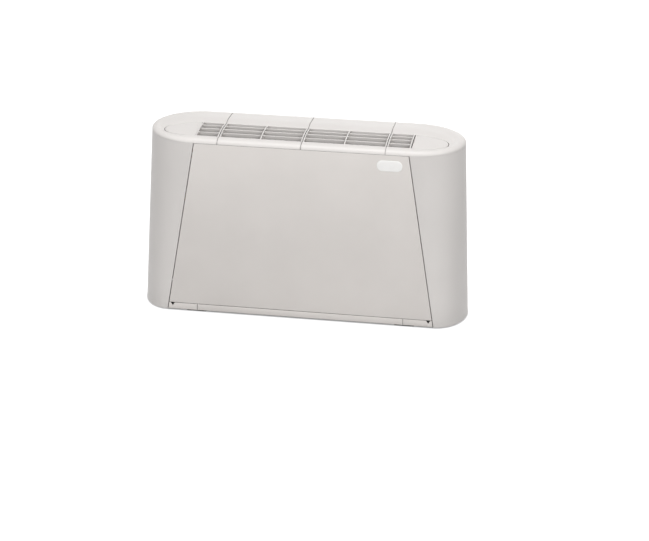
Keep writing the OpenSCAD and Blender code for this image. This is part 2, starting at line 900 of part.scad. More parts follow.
// Knob with finger flutes and a pointer groove
module knob(n) {
  color("gainsboro") at_knob(n) difference() {
    union() {
      translate([0, 0, 0.3]) cylinder(r = knob_r, h = knob_h);
      translate([0, 0, -plate_t - 11.5]) cylinder(r = stem_r, h = plate_t + 12, $fn = 32);
    }
    for (a = [30:30:330]) rotate(a) translate([0, knob_r + 1.5, 3]) cylinder(r = 3, h = knob_h, $fn = 24);
    translate([-0.8, knob_r / 2, knob_h - 0.7]) cube([1.6, knob_r, 2]);
  }
}

module speed_knob() {
  knob(0);
}

module thermostat_knob() {
  knob(1);
}

// Fasteners

// Pan head screw along +Z with its head below zero
module screw(l) {
  translate([0, 0, -2.2]) cylinder(r = 2 * screw_r, h = 2.2, $fn = 24);
  cylinder(r = screw_r, h = l, $fn = 24);
}

module casing_screws() {
  drop = shell_t + 0.3 - shell_t + plate_t;
  color("dimgray") {
    cheek_holes() translate([0, 0, -drop]) screw(drop + shell_t - 0.4);
    mirrored() cheek_holes() translate([0, 0, -drop]) screw(drop + shell_t - 0.4);
  }
}

module coil_screws() {
  color("dimgray") for (m = [0, 1]) mirror([m, 0, 0])
    coil_holes() translate([0, 0, plate_t]) mirror([0, 0, 1]) screw(2 * plate_t + 2);
}

front_panel();
panel_lining();
left_cheek();
right_cheek();
left_grille();
right_grille();
left_top_end();
right_top_end();
left_flap();
right_flap();
left_hinge_pin();
right_hinge_pin();
left_strip_end();
right_strip_end();
filter_front();
filter_frame();
filter_mesh();
feet();
chassis_back();
left_side_plate();
right_side_plate();
fan_deck();
left_fan_housing();
right_fan_housing();
left_fan_wheel();
right_fan_wheel();
motor();
motor_shaft();
motor_rings();
motor_hangers();
coil_fins();
coil_tubes();
return_bends();
coil_end_plates();
water_inlet();
water_outlet();
drip_tray();
wiring_box();
wiring_box_lid();
terminal_block();
cable_gland();
control_plate();
selector_body();
thermostat_body();
speed_knob();
thermostat_knob();
casing_screws();
coil_screws();
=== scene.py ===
"""Looks of a cabinet fan coil unit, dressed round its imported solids.

Metres, in the frame of the solids: +X right, -Y front, +Z up, origin on the floor.
"""
import json
import math

import bmesh
import bpy
from mathutils import Matrix, Vector

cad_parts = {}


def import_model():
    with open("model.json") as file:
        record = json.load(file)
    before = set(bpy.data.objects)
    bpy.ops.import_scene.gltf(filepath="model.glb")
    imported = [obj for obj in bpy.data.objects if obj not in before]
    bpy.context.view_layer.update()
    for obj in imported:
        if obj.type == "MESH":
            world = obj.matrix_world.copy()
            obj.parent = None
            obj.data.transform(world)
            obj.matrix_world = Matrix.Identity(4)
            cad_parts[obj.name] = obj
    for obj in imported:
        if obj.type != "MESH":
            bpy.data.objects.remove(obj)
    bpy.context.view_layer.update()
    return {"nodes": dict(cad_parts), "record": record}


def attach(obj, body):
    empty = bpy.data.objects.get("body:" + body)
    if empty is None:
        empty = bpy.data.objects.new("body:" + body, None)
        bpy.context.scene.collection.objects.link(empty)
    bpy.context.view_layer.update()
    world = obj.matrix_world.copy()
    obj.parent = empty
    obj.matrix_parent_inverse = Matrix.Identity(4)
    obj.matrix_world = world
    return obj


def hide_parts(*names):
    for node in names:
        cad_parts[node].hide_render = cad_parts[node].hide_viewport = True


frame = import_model()
slot_of = {row["node"]: row["material_slot"] for row in frame["record"]["subparts"]}

MM = 0.001

# Sizes of the casing, in millimetres as in the solids
BASE_HALF = 420
TOP_HALF = 401
HALF_DEPTH = 110
FOOT = 3
RIM_Z = 478
PANEL_TOP = 454
BASE_ROUND = 77
TOP_ROUND = 130
SHELL = 3
SEAM = 1.1
BUTT = 0.1
BULL = 11.5
FRONT_DROP = 11
RIM_CORE = HALF_DEPTH - BULL
RIM_SLOPE = FRONT_DROP / (2 * RIM_CORE)
ARM_X = 290
ARM_LAP = 40
SHEET_EDGE = 0.3
BROKEN_EDGE = 0.4
HAIR = 0.001

# Sizes of the outlet
OUTLET_Y = -37
OUTLET_DEPTH = 94
OUTLET_FRONT = OUTLET_Y - OUTLET_DEPTH / 2
OUTLET_BACK = OUTLET_Y + OUTLET_DEPTH / 2
GRILLE_HALF = 272
MODULE = 212
TIP = 90
NOSE = 30
LIP = 2.5
LIP_H = 30
LIP_ROUND = 2.0
ROLL_IN = 36
ROLL_DOWN = 12.3
ROLL_FLAT = 0.6
PILLOW = 3.0
GAP = 2.0
PILLOW_LEAN = 1.4
PILLOW_SPAN = 60
SINK_RUN = 30
SINK_CLEAR = 0.2
STRIP_IN = 1.8
STRIP_LAP = 3
STRIP_T = 0.8
STRIP_CLEAR = 0.02
CROWN_R = 280
CROWN_Y = -18
CROWN_SINK = 0.5
BLADES = 3
BLADE_PITCH = OUTLET_DEPTH / (BLADES + 1)
BLADE_T = 2.4
BLADE_H = 14
BLADE_LEAN = 10
BLADE_DROP = 0.6
RIB_T = 3
RIB_H = 16
FLAP_T = 2.5
FLAP_GAP = 1.2
FLAP_FALL = 2
FLAP_DOME = 1.0
HINGE_X = GRILLE_HALF + SEAM + FLAP_T


def rim_top(y):
    """Height of the rim at a depth; it falls to the front."""
    return RIM_Z + RIM_SLOPE * (y - RIM_CORE)


CROWN_Z = rim_top(OUTLET_BACK) - CROWN_SINK - math.sqrt(CROWN_R ** 2 - (OUTLET_BACK - CROWN_Y) ** 2)


def crown(y):
    """Height of the louvre surface at a depth."""
    return CROWN_Z + math.sqrt(CROWN_R ** 2 - (y - CROWN_Y) ** 2)


FLAP_LEAN = (crown(OUTLET_BACK) - crown(OUTLET_FRONT)) / OUTLET_DEPTH
AXIS_Z = (crown(OUTLET_BACK) + crown(OUTLET_FRONT)) / 2 - FLAP_T


def flap_top(x, y):
    """Height of the flap's upper face, which falls a little to its tip."""
    fall = math.tan(math.radians(FLAP_FALL))
    return AXIS_Z + FLAP_T + (y - OUTLET_Y) * FLAP_LEAN - (x - HINGE_X) * fall


# Node trees

class Graph:
    """Short words for adding nodes to a tree and feeding their sockets."""

    def __init__(self, tree):
        self.tree = tree

    def feed(self, socket, value):
        if isinstance(value, bpy.types.NodeSocket):
            self.tree.links.new(value, socket)
        else:
            socket.default_value = value

    def add(self, kind, inputs=None, **settings):
        node = self.tree.nodes.new(kind)
        for key, value in settings.items():
            setattr(node, key, value)
        for key, value in (inputs or {}).items():
            self.feed(node.inputs[key], value)
        return node

    def math(self, operation, *values):
        node = self.tree.nodes.new("ShaderNodeMath")
        node.operation = operation
        for socket, value in zip(node.inputs, values):
            self.feed(socket, value)
        return node.outputs[0]


# Finishes

def srgb(red, green, blue):
    """Colour written as it shows on a screen, 0 to 255, as the linear colour of a shader."""
    linear = []
    for part in (red, green, blue):
        value = part / 255
        linear.append(value / 12.92 if value <= 0.04045 else ((value + 0.055) / 1.055) ** 2.4)
    return (*linear, 1.0)


class Finish(Graph):
    """A surface finish: its colour, roughness and relief come from patterns in the object's own space."""

    def __init__(self, name, metallic=0.0, specular=0.5):
        self.material = bpy.data.materials.new(name)
        self.material.use_nodes = True
        super().__init__(self.material.node_tree)
        self.shader = self.tree.nodes["Principled BSDF"]
        self.shader.inputs["Metallic"].default_value = metallic
        self.shader.inputs["Specular IOR Level"].default_value = specular
        self.place = self.add("ShaderNodeTexCoord").outputs["Object"]
        self.relief = None

    def stretched(self, x, y, z):
        """The object's space drawn out, for a pattern with a direction."""
        return self.add("ShaderNodeMapping", {"Vector": self.place, "Scale": (x, y, z)}).outputs[0]

    def noise(self, scale, detail=3.0, where=None, rough=0.5):
        return self.add("ShaderNodeTexNoise", {
            "Vector": where or self.place, "Scale": scale, "Detail": detail, "Roughness": rough,
        }).outputs["Fac"]

    def cells(self, scale, feature="F1", output="Distance"):
        return self.add("ShaderNodeTexVoronoi", {"Vector": self.place, "Scale": scale},
                        feature=feature).outputs[output]

    def ramp(self, value, *stops):
        """Colour that runs through the stops, each a position and a colour."""
        node = self.add("ShaderNodeValToRGB", {"Fac": value})
        elements = node.color_ramp.elements
        while len(elements) < len(stops):
            elements.new(0.5)
        for element, (position, colour) in zip(elements, stops):
            element.position = position
            element.color = colour
        return node.outputs["Color"]

    def range(self, value, low, high):
        return self.add("ShaderNodeMapRange", {"Value": value, "To Min": low, "To Max": high}).outputs[0]

    def colour(self, value):
        self.feed(self.shader.inputs["Base Color"], value)

    def painted_crease_shade(self, unshaded, seam_shade, reach):
        """Painted shade: colour that goes over to a dark shade colour in grooves and seams narrower than a
        reach in millimetres.
        """
        # Ambient occlusion darkens the colour here, which paints shade into seams and creases.
        free = self.add("ShaderNodeAmbientOcclusion", {"Distance": reach * MM}, samples=6).outputs["AO"]
        share = self.add("ShaderNodeMapRange", {
            "Value": free, "From Min": 0.2, "From Max": 0.62}).outputs[0]
        return self.add("ShaderNodeMixRGB", {"Fac": share, "Color1": seam_shade, "Color2": unshaded}).outputs[0]

    def roughness(self, value):
        self.feed(self.shader.inputs["Roughness"], value)

    def raise_by(self, height, depth, strength):
        """Adds relief of a depth in millimetres."""
        sockets = {"Height": height, "Distance": depth * MM, "Strength": strength}
        if self.relief:
            sockets["Normal"] = self.relief
        self.relief = self.add("ShaderNodeBump", sockets).outputs["Normal"]
        self.feed(self.shader.inputs["Normal"], self.relief)


CASING = (srgb(220, 216, 213), srgb(225, 221, 218))
# Colour of the painted shade that darkens the seams and grooves of the casing.
SEAM_SHADE = srgb(70, 66, 62)


def powder_coat():
    """Baked powder paint on sheet steel: cloudy off-white with a fine orange peel."""
    coat = Finish("panel_paint", specular=0.45)
    cloud = coat.noise(7, 4)
    tone = coat.ramp(cloud, (0.3, srgb(220, 215, 211)), (0.7, srgb(225, 220, 216)))
    # Painted shade: the paint goes darker in seams and grooves, where ambient occlusion finds them.
    coat.colour(coat.painted_crease_shade(tone, SEAM_SHADE, 3.0))
    peel = coat.noise(620, 2)
    coat.roughness(coat.range(peel, 0.44, 0.56))
    coat.raise_by(peel, 0.12, 0.25)
    return coat.material


def moulded(name, dark, light, grain, gloss, depth=0.06, seam_shade=None):
    """Moulded plastic with an eroded grain and a slight drift of tone, and painted shade in its seams when a
    shade colour is given.
    """
    shell = Finish(name, specular=0.35)
    drift = shell.noise(5, 3)
    tone = shell.ramp(drift, (0.3, dark), (0.7, light))
    # With a shade colour, the plastic goes darker in seams and grooves: painted shade.
    shell.colour(shell.painted_crease_shade(tone, seam_shade, 3.0) if seam_shade else tone)
    pits = shell.noise(grain, 2, rough=0.6)
    shell.roughness(shell.range(pits, gloss - 0.06, gloss + 0.08))
    shell.raise_by(pits, depth, 0.3)
    return shell.material


def felt():
    wool = Finish("felt", specular=0.15)
    fibre = wool.noise(900, 6, wool.stretched(1, 1, 0.25), 0.7)
    wool.colour(wool.ramp(fibre, (0.25, srgb(52, 51, 50)), (0.75, srgb(104, 101, 97))))
    wool.shader.inputs["Roughness"].default_value = 0.95
    wool.shader.inputs["Sheen Weight"].default_value = 0.3
    wool.raise_by(fibre, 0.8, 0.6)
    return wool.material


def galvanised():
    """Zinc-coated sheet with spangles under a centimetre across."""
    zinc = Finish("galvanised", metallic=0.85)
    spangle = zinc.cells(120, output="Color")
    fleck = zinc.add("ShaderNodeSeparateColor", {"Color": spangle}).outputs[0]
    zinc.colour(zinc.ramp(fleck, (0.1, srgb(172, 175, 178)), (0.9, srgb(188, 191, 193))))
    scratch = zinc.noise(160, 4, zinc.stretched(1, 1, 0.1))
    zinc.roughness(zinc.range(fleck, 0.38, 0.46))
    zinc.raise_by(scratch, 0.03, 0.2)
    return zinc.material


def metal(name, dark, light, gloss, run, metallic=1.0):
    """Drawn or brushed metal whose fine lines run one way."""
    bar = Finish(name, metallic=metallic)
    lines = bar.noise(900, 4, bar.stretched(*run))
    stain = bar.noise(40, 5)
    bar.colour(bar.ramp(stain, (0.3, dark), (0.7, light)))
    bar.roughness(bar.range(lines, gloss - 0.08, gloss + 0.1))
    bar.raise_by(lines, 0.02, 0.25)
    return bar.material


def hammered():
    """Stoved grey enamel on the motor's shell."""
    enamel = Finish("motor_paint", specular=0.55)
    dimple = enamel.cells(260, "SMOOTH_F1")
    enamel.colour(enamel.ramp(dimple, (0.0, srgb(70, 76, 82)), (0.6, srgb(96, 103, 109))))
    enamel.roughness(enamel.range(dimple, 0.32, 0.5))
    enamel.raise_by(dimple, 0.2, 0.4)
    return enamel.material


def rubber():
    pad = Finish("rubber", specular=0.3)
    bloom = pad.noise(120, 5)
    pad.colour(pad.ramp(bloom, (0.3, srgb(24, 24, 25)), (0.75, srgb(44, 43, 42))))
    pad.roughness(pad.range(bloom, 0.62, 0.85))
    pad.raise_by(pad.noise(1500, 2), 0.05, 0.4)
    return pad.material


def net_thread():
    thread = Finish("filter_cloth", specular=0.35)
    twist = thread.noise(2400, 3)
    thread.colour(thread.ramp(twist, (0.3, srgb(58, 60, 62)), (0.7, srgb(92, 94, 95))))
    thread.roughness(thread.range(twist, 0.5, 0.75))
    thread.raise_by(twist, 0.05, 0.4)
    return thread.material


finishes = {
    "panel_paint": powder_coat(),
    # The casing plastics take painted shade in their seams and grooves.
    "cheek_plastic": moulded("cheek_plastic", *CASING, 1700, 0.42, 0.04, SEAM_SHADE),
    "top_plastic": moulded("top_plastic", *CASING, 1700, 0.42, 0.04, SEAM_SHADE),
    "felt": felt(),
    "steel": metal("steel", srgb(158, 158, 158), srgb(190, 190, 188), 0.28, (0.05, 1, 1)),
    "dark_plastic": moulded("dark_plastic", srgb(34, 35, 37), srgb(46, 47, 49), 1300, 0.46),
    "filter_cloth": net_thread(),
    "rubber": rubber(),
    "galvanised": galvanised(),
    "motor_paint": hammered(),
    "aluminium": metal("aluminium", srgb(188, 191, 194), srgb(213, 215, 217), 0.36, (1, 1, 0.05), 0.9),
    "copper": metal("copper", srgb(170, 98, 66), srgb(206, 132, 92), 0.3, (0.05, 1, 1)),
    "brass": metal("brass", srgb(178, 142, 74), srgb(208, 174, 104), 0.3, (0.05, 1, 1)),
    "box_plastic": moulded("box_plastic", srgb(128, 130, 132), srgb(142, 144, 146), 1300, 0.5),
    "light_plastic": moulded("light_plastic", srgb(224, 221, 214), srgb(233, 230, 224), 1300, 0.4),
}
for node, piece in frame["nodes"].items():
    if not piece.material_slots:
        piece.data.materials.append(None)
    for holder in piece.material_slots:
        holder.material = finishes[slot_of[node]]


# Making pieces

def new_piece(name, mesh, body, slot, *stands_for):
    """Puts a finished mesh on its body in the place of the solids it stands for."""
    piece = bpy.data.objects.new(name, mesh)
    bpy.context.scene.collection.objects.link(piece)
    if not mesh.materials:
        mesh.materials.append(finishes[slot])
    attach(piece, body)
    if stands_for:
        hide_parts(*stands_for)
    return piece


def baked(piece):
    """Mesh of a piece with its modifiers applied; the helper object goes."""
    graph = bpy.context.evaluated_depsgraph_get()
    mesh = bpy.data.meshes.new_from_object(piece.evaluated_get(graph))
    bpy.data.objects.remove(piece)
    return mesh


def shade(mesh, angle=32):
    """Smooth faces, with edges sharper than the angle kept crisp."""
    mesh.shade_smooth()
    mesh.set_sharp_from_angle(angle=math.radians(angle))


def walled(mesh, wall):
    """Gives a skin its wall, inwards, in millimetres."""
    helper = bpy.data.objects.new("helper", mesh)
    bpy.context.scene.collection.objects.link(helper)
    thick = helper.modifiers.new("wall", "SOLIDIFY")
    thick.thickness = wall * MM
    thick.offset = -1
    thick.use_even_offset = True
    return baked(helper)


def with_edges(mesh, edge, angle=35, plain=None):
    """Rounds the edges of a mesh that are sharper than the angle, by a size in millimetres.

    Edges whose two ends both pass the test named plain stay sharp.
    """
    work = bmesh.new()
    work.from_mesh(mesh)
    sharp = [line for line in work.edges if len(line.link_faces) == 2
             and line.calc_face_angle() > math.radians(angle)
             and not (plain and all(plain(end.co / MM) for end in line.verts))]
    bmesh.ops.bevel(work, geom=sharp, offset=edge * MM, offset_type="OFFSET", segments=2, profile=0.5,
                    affect="EDGES", clamp_overlap=True)
    work.to_mesh(mesh)
    work.free()
    shade(mesh)
    return mesh


def refined(node, edge, body="cabinet"):
    """A solid's own shape with its edges broken and its round faces smooth."""
    mesh = frame["nodes"][node].data.copy()
    work = bmesh.new()
    work.from_mesh(mesh)
    bmesh.ops.remove_doubles(work, verts=work.verts, dist=0.002 * MM)
    bmesh.ops.dissolve_limit(work, angle_limit=math.radians(0.6), verts=work.verts, edges=work.edges)
    work.to_mesh(mesh)
    work.free()
    mesh.normals_split_custom_set([(0, 0, 0)] * len(mesh.loops))
    mesh.materials.clear()
    return new_piece(node + "_dressed", with_edges(mesh, edge), body, slot_of[node], node)


def skin(rings, closed=False):
    """Mesh of quads between rings of points in millimetres, each ring as long as the next."""
    mesh = bpy.data.meshes.new("skin")
    work = bmesh.new()
    rows = [[work.verts.new(Vector(point) * MM) for point in ring] for ring in rings]
    for low, high in zip(rows, rows[1:]):
        count = len(low) if closed else len(low) - 1
        for n in range(count):
            m = (n + 1) % len(low)
            corners = [low[n], low[m], high[m], high[n]]
            work.faces.new(corners)
    bmesh.ops.remove_doubles(work, verts=work.verts, dist=0.001 * MM)
    work.to_mesh(mesh)
    work.free()
    return mesh


def mirrored(mesh):
    """The same mesh on the other side of the middle, with its faces still outwards."""
    other = mesh.copy()
    other.transform(Matrix.Diagonal((-1, 1, 1, 1)))
    other.flip_normals()
    return other


def joined(*meshes):
    """One mesh from several."""
    work = bmesh.new()
    for mesh in meshes:
        work.from_mesh(mesh)
    made = bpy.data.meshes.new("joined")
    work.to_mesh(made)
    work.free()
    return made


def sealed(mesh):
    """Closes the open ends of a skin and turns its faces outwards."""
    work = bmesh.new()
    work.from_mesh(mesh)
    bmesh.ops.holes_fill(work, edges=work.edges, sides=0)
    bmesh.ops.recalc_face_normals(work, faces=work.faces)
    work.to_mesh(mesh)
    work.free()
    shade(mesh, 40)
    return mesh


# Trees that make what repeats and what follows a rule

class Recipe(Graph):
    """A geometry tree with named inputs."""

    def __init__(self, name):
        super().__init__(bpy.data.node_groups.new(name, "GeometryNodeTree"))
        self.tree.interface.new_socket("Geometry", in_out="OUTPUT", socket_type="NodeSocketGeometry")
        self.entry = self.tree.nodes.new("NodeGroupInput")
        self.sockets = {}

    def input(self, name, kind="Float"):
        self.sockets[name] = self.tree.interface.new_socket(
            name, in_out="INPUT", socket_type="NodeSocket" + kind).identifier
        return self.entry.outputs[name]

    def finish(self, geometry):
        solid = self.add("GeometryNodeRealizeInstances", {"Geometry": geometry}).outputs[0]
        painted = self.add("GeometryNodeSetMaterial", {
            "Geometry": solid, "Material": self.entry.outputs["Finish"]}).outputs[0]
        self.feed(self.tree.nodes.new("NodeGroupOutput").inputs[0], painted)

    def vector(self, x=0.0, y=0.0, z=0.0):
        return self.add("ShaderNodeCombineXYZ", {"X": x, "Y": y, "Z": z}).outputs[0]

    def position(self):
        return self.add("ShaderNodeSeparateXYZ", {
            "Vector": self.add("GeometryNodeInputPosition").outputs[0]}).outputs

    def placed(self, geometry, where):
        return self.add("GeometryNodeSetPosition", {"Geometry": geometry, "Position": where}).outputs[0]

    def prism(self, face, length):
        """Solid from a face drawn with depth as X and height as Y, pushed out along the width."""
        pushed = self.add("GeometryNodeExtrudeMesh", {
            "Mesh": face, "Offset": self.vector(z=1.0), "Offset Scale": length, "Individual": False},
            mode="FACES").outputs[0]
        back = self.add("GeometryNodeFlipFaces", {"Mesh": face}).outputs[0]
        both = self.tree.nodes.new("GeometryNodeJoinGeometry")
        for part in (pushed, back):
            self.tree.links.new(part, both.inputs[0])
        sealed = self.add("GeometryNodeMergeByDistance", {
            "Geometry": both.outputs[0], "Distance": 0.001 * MM}).outputs[0]
        return self.add("GeometryNodeTransform", {
            "Geometry": sealed, "Rotation": (math.pi / 2, 0, math.pi / 2)}).outputs[0]

    def run(self, **values):
        """Mesh that the tree makes from these inputs, named with _ for spaces."""
        helper = bpy.data.objects.new("helper", bpy.data.meshes.new("helper"))
        bpy.context.scene.collection.objects.link(helper)
        maker = helper.modifiers.new("maker", "NODES")
        maker.node_group = self.tree
        for name, value in values.items():
            maker[self.sockets[name.replace("_", " ")]] = value
        return baked(helper)


def cheek_recipe():
    """Skin of a right cheek: ruled lines from the oval at the floor to the wider oval at the rim."""
    recipe = Recipe("cheek_loft")
    low_half = recipe.input("Floor half width")
    high_half = recipe.input("Rim half width")
    low_round = recipe.input("Floor round")
    high_round = recipe.input("Rim round")
    half_depth = recipe.input("Half depth")
    low_z = recipe.input("Floor height")
    high_z = recipe.input("Rim height")
    share = recipe.input("Share of height")
    recipe.input("Finish", "Material")
    grid = recipe.add("GeometryNodeMeshGrid", {
        "Size X": 1.0, "Size Y": 1.0, "Vertices X": 121, "Vertices Y": 9}).outputs[0]
    place = recipe.position()
    bearing = recipe.math("MULTIPLY", place[0], math.pi)
    climb = recipe.math("MULTIPLY", recipe.math("ADD", place[1], 0.5), share)
    sine = recipe.math("SINE", bearing)
    cosine = recipe.math("COSINE", bearing)

    def oval(half, rounding):
        """Point of the plan whose wall faces the bearing."""
        turn = recipe.math("ARCTAN2", recipe.math("MULTIPLY", sine, half_depth),
                           recipe.math("MULTIPLY", cosine, rounding))
        flat = recipe.math("SUBTRACT", half, rounding)
        x = recipe.math("MULTIPLY_ADD", recipe.math("COSINE", turn), rounding, flat)
        return x, recipe.math("MULTIPLY", recipe.math("SINE", turn), half_depth)

    low_x, low_y = oval(low_half, low_round)
    high_x, high_y = oval(high_half, high_round)

    def between(a, b):
        return recipe.math("MULTIPLY_ADD", recipe.math("SUBTRACT", b, a), climb, a)

    where = recipe.vector(between(low_x, high_x), between(low_y, high_y), between(low_z, high_z))
    recipe.finish(recipe.placed(grid, where))
    return recipe


def louvre_recipe():
    """Leaning blades on the crowned surface of the outlet, with the ribs that cross them."""
    recipe = Recipe("louvre")
    length = recipe.input("Blade length")
    count = recipe.input("Blade count", "Int")
    pitch = recipe.input("Blade pitch")
    first = recipe.input("First blade")
    thick = recipe.input("Blade thickness")
    tall = recipe.input("Blade height")
    lean = recipe.input("Blade lean")
    drop = recipe.input("Blade drop")
    crown_r = recipe.input("Crown radius")
    crown_y = recipe.input("Crown middle")
    crown_z = recipe.input("Crown centre height")
    start = recipe.input("Start")
    ribs = recipe.input("Rib count", "Int")
    rib_pitch = recipe.input("Rib pitch")
    rib_thick = recipe.input("Rib thickness")
    rib_deep = recipe.input("Rib depth")
    rib_span = recipe.input("Rib span")
    rib_middle = recipe.input("Rib middle")
    recipe.input("Finish", "Material")

    def crown(y):
        """Height of the crowned surface at a depth."""
        side = recipe.math("SUBTRACT", y, crown_y)
        square = recipe.math("SUBTRACT", recipe.math("MULTIPLY", crown_r, crown_r),
                             recipe.math("MULTIPLY", side, side))
        return recipe.math("ADD", recipe.math("SQRT", square), crown_z)

    back = recipe.math("MULTIPLY", tall, recipe.math("TANGENT", lean))
    low = recipe.math("MULTIPLY", tall, -1.0)
    section = recipe.add("GeometryNodeCurvePrimitiveQuadrilateral", {
        "Point 1": recipe.vector(0.0, 0.0),
        "Point 2": recipe.vector(thick, 0.0),
        "Point 3": recipe.vector(recipe.math("ADD", back, thick), low),
        "Point 4": recipe.vector(back, low)}, mode="POINTS").outputs[0]
    soft = recipe.add("GeometryNodeFilletCurve", {
        "Curve": section, "Radius": recipe.math("MULTIPLY", thick, 0.42), "Count": 4},
        mode="POLY").outputs[0]
    face = recipe.add("GeometryNodeFillCurve", {"Curve": soft}, mode="NGONS").outputs[0]
    blade = recipe.prism(face, length)
    line = recipe.add("GeometryNodeMeshLine", {
        "Count": count, "Start Location": recipe.vector(start, first),
        "Offset": recipe.vector(0.0, pitch)}).outputs[0]
    spot = recipe.position()
    stand = recipe.math("SUBTRACT", crown(spot[1]), drop)
    seats = recipe.placed(line, recipe.vector(spot[0], spot[1], stand))
    blades = recipe.add("GeometryNodeInstanceOnPoints", {"Points": seats, "Instance": blade}).outputs[0]

    web = recipe.add("GeometryNodeMeshGrid", {
        "Size X": rib_span, "Size Y": rib_deep, "Vertices X": 33, "Vertices Y": 2}).outputs[0]
    spot = recipe.position()
    depth = recipe.math("ADD", spot[0], rib_middle)
    half = recipe.math("MULTIPLY", rib_deep, 0.5)
    edge = recipe.math("ADD", recipe.math("SUBTRACT", spot[1], half), crown(depth))
    bent = recipe.placed(web, recipe.vector(depth, edge))
    rib = recipe.prism(bent, rib_thick)
    row = recipe.add("GeometryNodeMeshLine", {
        "Count": ribs, "Start Location": recipe.vector(start),
        "Offset": recipe.vector(rib_pitch)}).outputs[0]
    stands = recipe.add("GeometryNodeInstanceOnPoints", {"Points": row, "Instance": rib}).outputs[0]
    both = recipe.tree.nodes.new("GeometryNodeJoinGeometry")
    for part in (blades, stands):
        recipe.tree.links.new(part, both.inputs[0])
    recipe.finish(both.outputs[0])
    return recipe


def net_recipe():
    """Filter net: a layer of threads across the width, welded to a layer along the depth."""
    recipe = Recipe("filter_net")
    wide = recipe.input("Net width")
    deep = recipe.input("Net depth")
    pitch = recipe.input("Thread pitch")
    thick = recipe.input("Thread thickness")
    middle = recipe.input("Net middle", "Vector")
    recipe.input("Finish", "Material")
    both = recipe.tree.nodes.new("GeometryNodeJoinGeometry")

    def layer(length, span, turn, across, lift):
        """Threads of one length, side by side over the span."""
        thread = recipe.add("GeometryNodeMeshCylinder", {
            "Vertices": 8, "Radius": recipe.math("MULTIPLY", thick, 0.5), "Depth": length}).outputs[0]
        lying = recipe.add("GeometryNodeTransform", {"Geometry": thread, "Rotation": turn}).outputs[0]
        gaps = recipe.math("FLOOR", recipe.math("DIVIDE", span, pitch))
        height = recipe.math("MULTIPLY", thick, lift)
        row = recipe.add("GeometryNodeMeshLine", {
            "Count": recipe.math("ADD", gaps, 1.0),
            "Start Location": recipe.vector(z=height, **{across: recipe.math("MULTIPLY", span, -0.5)}),
            "Offset": recipe.vector(**{across: recipe.math("DIVIDE", span, gaps)})}).outputs[0]
        threads = recipe.add("GeometryNodeInstanceOnPoints", {"Points": row, "Instance": lying}).outputs[0]
        recipe.tree.links.new(threads, both.inputs[0])

    layer(wide, deep, (0, math.pi / 2, 0), "y", 0.4)
    layer(deep, wide, (math.pi / 2, 0, 0), "x", -0.4)
    recipe.finish(recipe.add("GeometryNodeTransform", {
        "Geometry": both.outputs[0], "Translation": middle}).outputs[0])
    return recipe


def fin_recipe():
    """Pack of thin leaning plates, side by side along the width."""
    recipe = Recipe("fin_pack")
    long = recipe.input("Pack length")
    pitch = recipe.input("Fin pitch")
    thick = recipe.input("Fin thickness")
    wide = recipe.input("Fin width")
    tall = recipe.input("Fin height")
    lean = recipe.input("Fin lean")
    middle = recipe.input("Pack middle", "Vector")
    recipe.input("Finish", "Material")
    plate = recipe.add("GeometryNodeMeshCube", {"Size": recipe.vector(thick, wide, tall)}).outputs[0]
    leaning = recipe.add("GeometryNodeTransform", {
        "Geometry": plate, "Rotation": recipe.vector(lean)}).outputs[0]
    span = recipe.math("SUBTRACT", long, thick)
    gaps = recipe.math("FLOOR", recipe.math("DIVIDE", span, pitch))
    row = recipe.add("GeometryNodeMeshLine", {
        "Count": recipe.math("ADD", gaps, 1.0),
        "Start Location": recipe.vector(recipe.math("MULTIPLY", span, -0.5)),
        "Offset": recipe.vector(recipe.math("DIVIDE", span, gaps))}).outputs[0]
    fins = recipe.add("GeometryNodeInstanceOnPoints", {"Points": row, "Instance": leaning}).outputs[0]
    recipe.finish(recipe.add("GeometryNodeTransform", {
        "Geometry": fins, "Translation": middle}).outputs[0])
    return recipe


cheek_loft = cheek_recipe()
louvre = louvre_recipe()
filter_net = net_recipe()
fin_pack = fin_recipe()


# Casing

def right_cheek():
    """End shell with a wider gap at the front panel and a flat arm on the wall side."""
    mesh = cheek_loft.run(
        Floor_half_width=BASE_HALF * MM, Rim_half_width=TOP_HALF * MM,
        Floor_round=BASE_ROUND * MM, Rim_round=TOP_ROUND * MM, Half_depth=HALF_DEPTH * MM,
        Floor_height=FOOT * MM, Rim_height=PANEL_TOP * MM,
        Share_of_height=(PANEL_TOP - BUTT - FOOT) / (PANEL_TOP - FOOT),
        Finish=finishes["cheek_plastic"])
    work = bmesh.new()
    work.from_mesh(mesh)
    for vert in work.verts:
        if vert.co.y < -(HALF_DEPTH - HAIR) * MM:
            vert.co.x += (GAP - SEAM / 2) * MM
    rear = [edge for edge in work.edges if edge.is_boundary
            and min(v.co.y for v in edge.verts) > (HALF_DEPTH - HAIR) * MM]
    drawn = bmesh.ops.extrude_edge_only(work, edges=rear)["geom"]
    for vert in drawn:
        if isinstance(vert, bmesh.types.BMVert):
            vert.co.x = (ARM_X - ARM_LAP) * MM
    back = [face for face in work.faces if face.calc_center_median().y > 0]
    parts = set(back)
    for face in back:
        parts.update(face.edges)
        parts.update(face.verts)
    bmesh.ops.bisect_plane(work, geom=list(parts), plane_co=(ARM_X * MM, 0, 0),
                           plane_no=(1, 0, 0), clear_inner=True)
    inside = Vector(((ARM_X - ARM_LAP) * MM, 0, 0))
    turned = [face for face in work.faces
              if face.normal.dot((face.calc_center_median() - inside) * Vector((1, 1, 0))) < 0]
    bmesh.ops.reverse_faces(work, faces=turned)
    work.to_mesh(mesh)
    work.free()
    return with_edges(walled(mesh, SHELL), BROKEN_EDGE, plain=lambda place: place.z > PANEL_TOP - 1)


cheek = right_cheek()
new_piece("right_cheek_shell", cheek, "cabinet", "cheek_plastic", "right_cheek")
new_piece("left_cheek_shell", mirrored(cheek), "cabinet", "cheek_plastic", "left_cheek")

